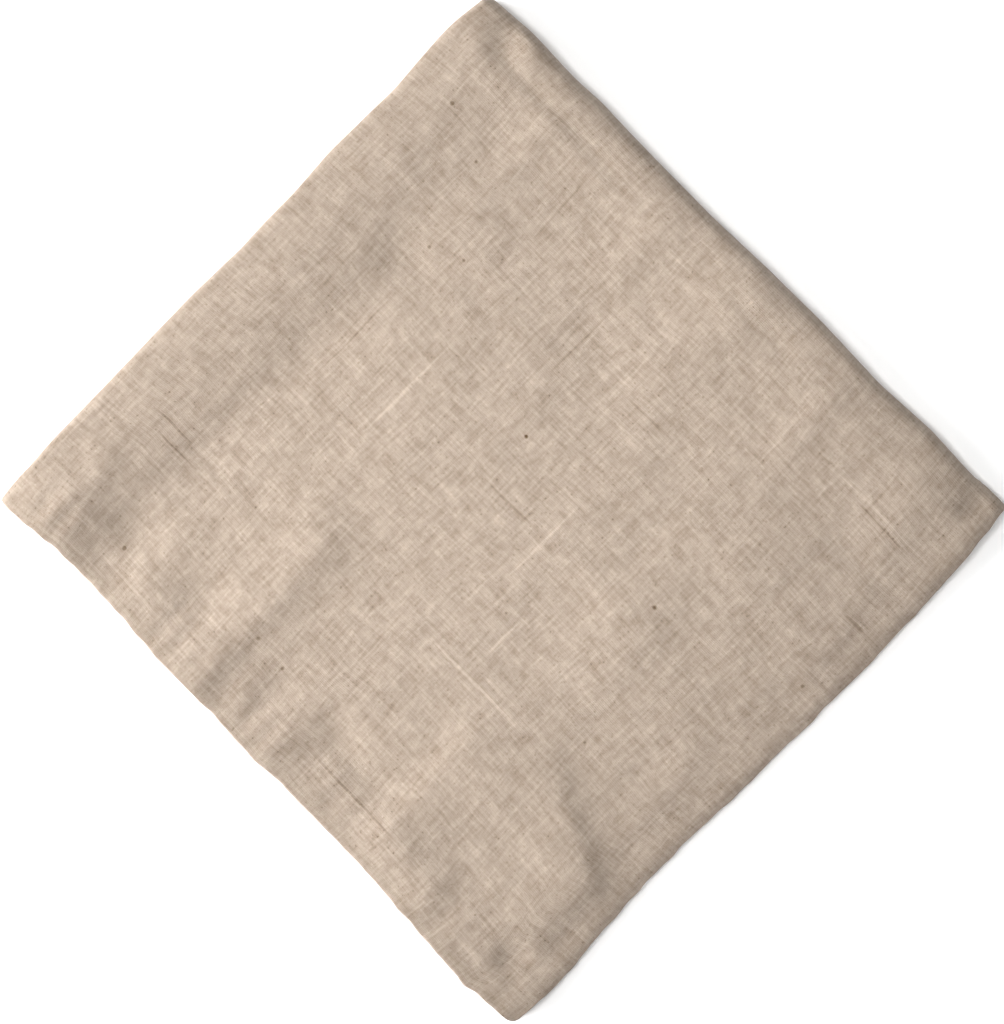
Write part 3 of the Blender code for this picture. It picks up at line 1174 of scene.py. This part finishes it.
    def marks(self, made: Nodes, flat: Place) -> tuple[Value, Value]:
        """The placed slubs and flecks.

        Args:
            made: the material.
            flat: the place on the flat cloth.

        Returns:
            Their tone, and the height of the slubs.
        """
        tone: Value = 0.0
        lump: Value = 0.0
        for slub in self.SLUBS:
            lies_x = slub.direction is Direction.ALONG_X
            size = (slub.length, slub.width) if lies_x else (slub.width, slub.length)
            mask = self.patch(made, flat, (slub.x, slub.y), size)
            tone = made.math("MULTIPLY_ADD", mask, slub.tone, tone)
            lump = made.math("MULTIPLY_ADD", mask, abs(slub.tone), lump)
        for fleck in self.FLECKS:
            mask = self.patch(made, flat, (fleck.x, fleck.y), (fleck.size, fleck.size))
            tone = made.math("MULTIPLY_ADD", mask, fleck.tone, tone)
        return tone, lump

    def patch(
        self, made: Nodes, flat: Place, middle: tuple[float, float], size: tuple[float, float]
    ) -> Value:
        """A soft oval patch of the upper face.

        Args:
            made: the material.
            flat: the place on the flat cloth.
            middle: the patch's middle, in millimetres from the middle of the picture.
            size: its lengths along X and along Y, in millimetres.

        Returns:
            1 inside the patch and 0 outside it.
        """
        middle_u = (middle[0] - self.FIRST_FOLD_AT) * MM
        middle_v = (middle[1] - self.SECOND_FOLD_AT) * MM
        off_u = made.math("DIVIDE", made.math("SUBTRACT", flat[0], middle_u), size[0] / 2 * MM)
        off_v = made.math("DIVIDE", made.math("SUBTRACT", flat[1], middle_v), size[1] / 2 * MM)
        square_v = made.math("MULTIPLY", off_v, off_v)
        away = made.math("SQRT", made.math("MULTIPLY_ADD", off_u, off_u, square_v))
        return made.spread(away, *self.mark_edge, 1.0, 0.0)

    def color_from(self, made: Nodes, shade: Value) -> None:
        """Colours the shader by the shade, which holds the threads' tones and marks and the painted
        weave shade, with the dark places a little warmer.

        Args:
            made: the material.
            shade: the share of the linen's usual colour, from its threads' tones and marks and the
                painted shade between its threads.
        """
        scaled = made.node("ShaderNodeVectorMath", operation="SCALE")
        scaled.inputs[0].default_value = self.color
        made.put(scaled.inputs["Scale"], shade)
        warmth = made.node("ShaderNodeVectorMath", operation="SCALE")
        warmth.inputs[0].default_value = self.warmth
        made.put(warmth.inputs["Scale"], made.math("SUBTRACT", 1.0, shade))
        both = made.node("ShaderNodeVectorMath", operation="ADD")
        made.put(both.inputs[0], scaled.outputs[0])
        made.put(both.inputs[1], warmth.outputs[0])
        made.put(made.shader.inputs["Base Color"], both.outputs[0])


@dataclass(frozen=True)
class ThreadFinish:
    """Sewing thread a little paler than the linen."""

    color: tuple[float, float, float] = (0.43, 0.352, 0.282)
    twist: float = 0.35 * MM
    twist_depth: float = 0.04 * MM
    # Shares of the colour in the twist's hollows and on its ridges, from the noise that also makes its
    # bump: painted shade and painted light
    hollow_shade_share: float = 0.85
    ridge_light_share: float = 1.1

    def material(self) -> bpy.types.Material:
        """Makes the thread's material.

        Returns:
            The material, which reads the piece's own place.
        """
        made = Nodes("sewing_thread")
        place = made.node("ShaderNodeTexCoord").outputs["Object"]
        scaled = made.node("ShaderNodeVectorMath", operation="SCALE")
        made.put(scaled.inputs[0], place)
        scaled.inputs["Scale"].default_value = 1.0 / self.twist
        strands = made.noise(scaled.outputs[0], detail=1.0)
        # Painted shade in the twist's hollows and painted light on its ridges, from the same noise as
        # the bump
        tone = made.node("ShaderNodeMix", data_type="RGBA")
        made.put(tone.inputs[0], strands)
        made.put(tone.inputs[6], (*(c * self.hollow_shade_share for c in self.color), 1.0))
        made.put(tone.inputs[7], (*(c * self.ridge_light_share for c in self.color), 1.0))
        made.put(made.shader.inputs["Base Color"], tone.outputs[2])
        made.put(made.shader.inputs["Roughness"], made.spread(strands, 0.0, 1.0, 0.9, 0.6))
        bump = made.node("ShaderNodeBump")
        bump.inputs["Distance"].default_value = self.twist_depth
        made.put(bump.inputs["Height"], strands)
        made.put(made.shader.inputs["Normal"], bump.outputs[0])
        return made.material


@dataclass(frozen=True)
class Softbox:
    """A square soft light that faces the napkin, with its direction from there and its beam's angle."""

    name: str
    towards: tuple[float, float, float]
    distance: float
    side: float
    power: float
    beam: float = math.radians(180.0)

    def hang(self) -> None:
        """Hangs the light in its place."""
        data = bpy.data.lights.new(self.name, "AREA")
        data.energy = self.power
        data.size = self.side
        data.spread = self.beam
        light = bpy.data.objects.new(self.name, data)
        towards = Vector(self.towards)
        light.location = towards.normalized() * self.distance
        light.rotation_euler = towards.to_track_quat("Z", "Y").to_euler()
        light.visible_camera = False
        bpy.context.scene.collection.objects.link(light)


@dataclass
class Studio:
    """A plain pale floor, soft lights and the camera over the napkin."""

    floor_size: float = 16.0
    floor_level: float = -0.02 * MM
    floor_color: tuple[float, float, float] = (0.96, 0.96, 0.955)
    floor_glow: float = 0.22
    picture_height: int = 1024
    pixel: float = 0.3107 * MM
    lens: float = 110.0
    sensor: float = 36.0
    seen_level: float = 4.5 * MM
    aim: tuple[float, float] = (0.86 * MM, -0.41 * MM)
    roll: float = math.radians(45.0)
    sky: float = 0.27

    LIGHTS = (
        # Low on the picture's left, which brings out the relief
        Softbox("key", (-0.72, -0.69, 0.36), 1.6, 0.9, 42.0),
        # High on the same side, which leaves a thin shadow beside the far edges
        Softbox("top", (-0.72, -0.69, 2.5), 1.2, 0.35, 7.8),
        # Overhead, which makes the middle a little brighter
        Softbox("pool", (0.0, 0.0, 1.0), 0.75, 0.1, 0.034, math.radians(26.0)),
    )

    def floor(self) -> None:
        """Lays the floor just under the napkin, with a faint glow that keeps it white near by."""
        flat = bmesh.new()
        bmesh.ops.create_grid(flat, x_segments=1, y_segments=1, size=self.floor_size / 2)
        bmesh.ops.translate(flat, verts=flat.verts, vec=(0.0, 0.0, self.floor_level))
        mesh = bpy.data.meshes.new("floor")
        flat.to_mesh(mesh)
        flat.free()
        finish = Nodes("pale_floor")
        finish.shader.inputs["Base Color"].default_value = (*self.floor_color, 1.0)
        finish.shader.inputs["Roughness"].default_value = 0.95
        finish.shader.inputs["Specular IOR Level"].default_value = 0.1
        finish.shader.inputs["Emission Color"].default_value = (1.0, 1.0, 1.0, 1.0)
        finish.shader.inputs["Emission Strength"].default_value = self.floor_glow
        mesh.materials.append(finish.material)
        floor = bpy.data.objects.new("floor", mesh)
        bpy.context.scene.collection.objects.link(floor)

    def lights(self) -> None:
        """Hangs the soft lights, with a little light from all round."""
        for light in self.LIGHTS:
            light.hang()
        world = bpy.data.worlds.new("studio")
        world.use_nodes = True
        background = world.node_tree.nodes["Background"]
        background.inputs["Color"].default_value = (1.0, 1.0, 1.0, 1.0)
        background.inputs["Strength"].default_value = self.sky
        bpy.context.scene.world = world
        bpy.context.scene.view_settings.view_transform = "Standard"

    def camera(self) -> None:
        """Sets the camera straight above, turned so that the closed corner points up."""
        data = bpy.data.cameras.new("camera")
        data.sensor_width = self.sensor
        data.lens = self.lens
        camera = bpy.data.objects.new("camera", data)
        distance = self.picture_height * self.pixel * self.lens / self.sensor
        camera.location = (*self.aim, self.seen_level + distance)
        camera.rotation_euler = (0.0, 0.0, self.roll)
        bpy.context.scene.collection.objects.link(camera)
        bpy.context.scene.camera = camera

    def build(self) -> None:
        """Sets up the floor, the lights and the camera."""
        self.floor()
        self.lights()
        self.camera()


def main() -> None:
    """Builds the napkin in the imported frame."""
    logging.basicConfig(level=logging.INFO, format="%(name)s: %(message)s")
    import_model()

    cloth = FoldedCloth()
    napkin = cloth.build(LinenFinish())
    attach(napkin, "root")
    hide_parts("napkin")
    LOG.info("%s: %d faces before its thickness", napkin.name, len(napkin.data.polygons))

    stitches = HemStitching().build(cloth, ThreadFinish())
    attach(stitches, "root")
    LOG.info("%s: %d faces", stitches.name, len(stitches.data.polygons))

    Studio().build()
    LOG.info("studio: floor, lights and camera")


if __name__ == "__main__":
    main()
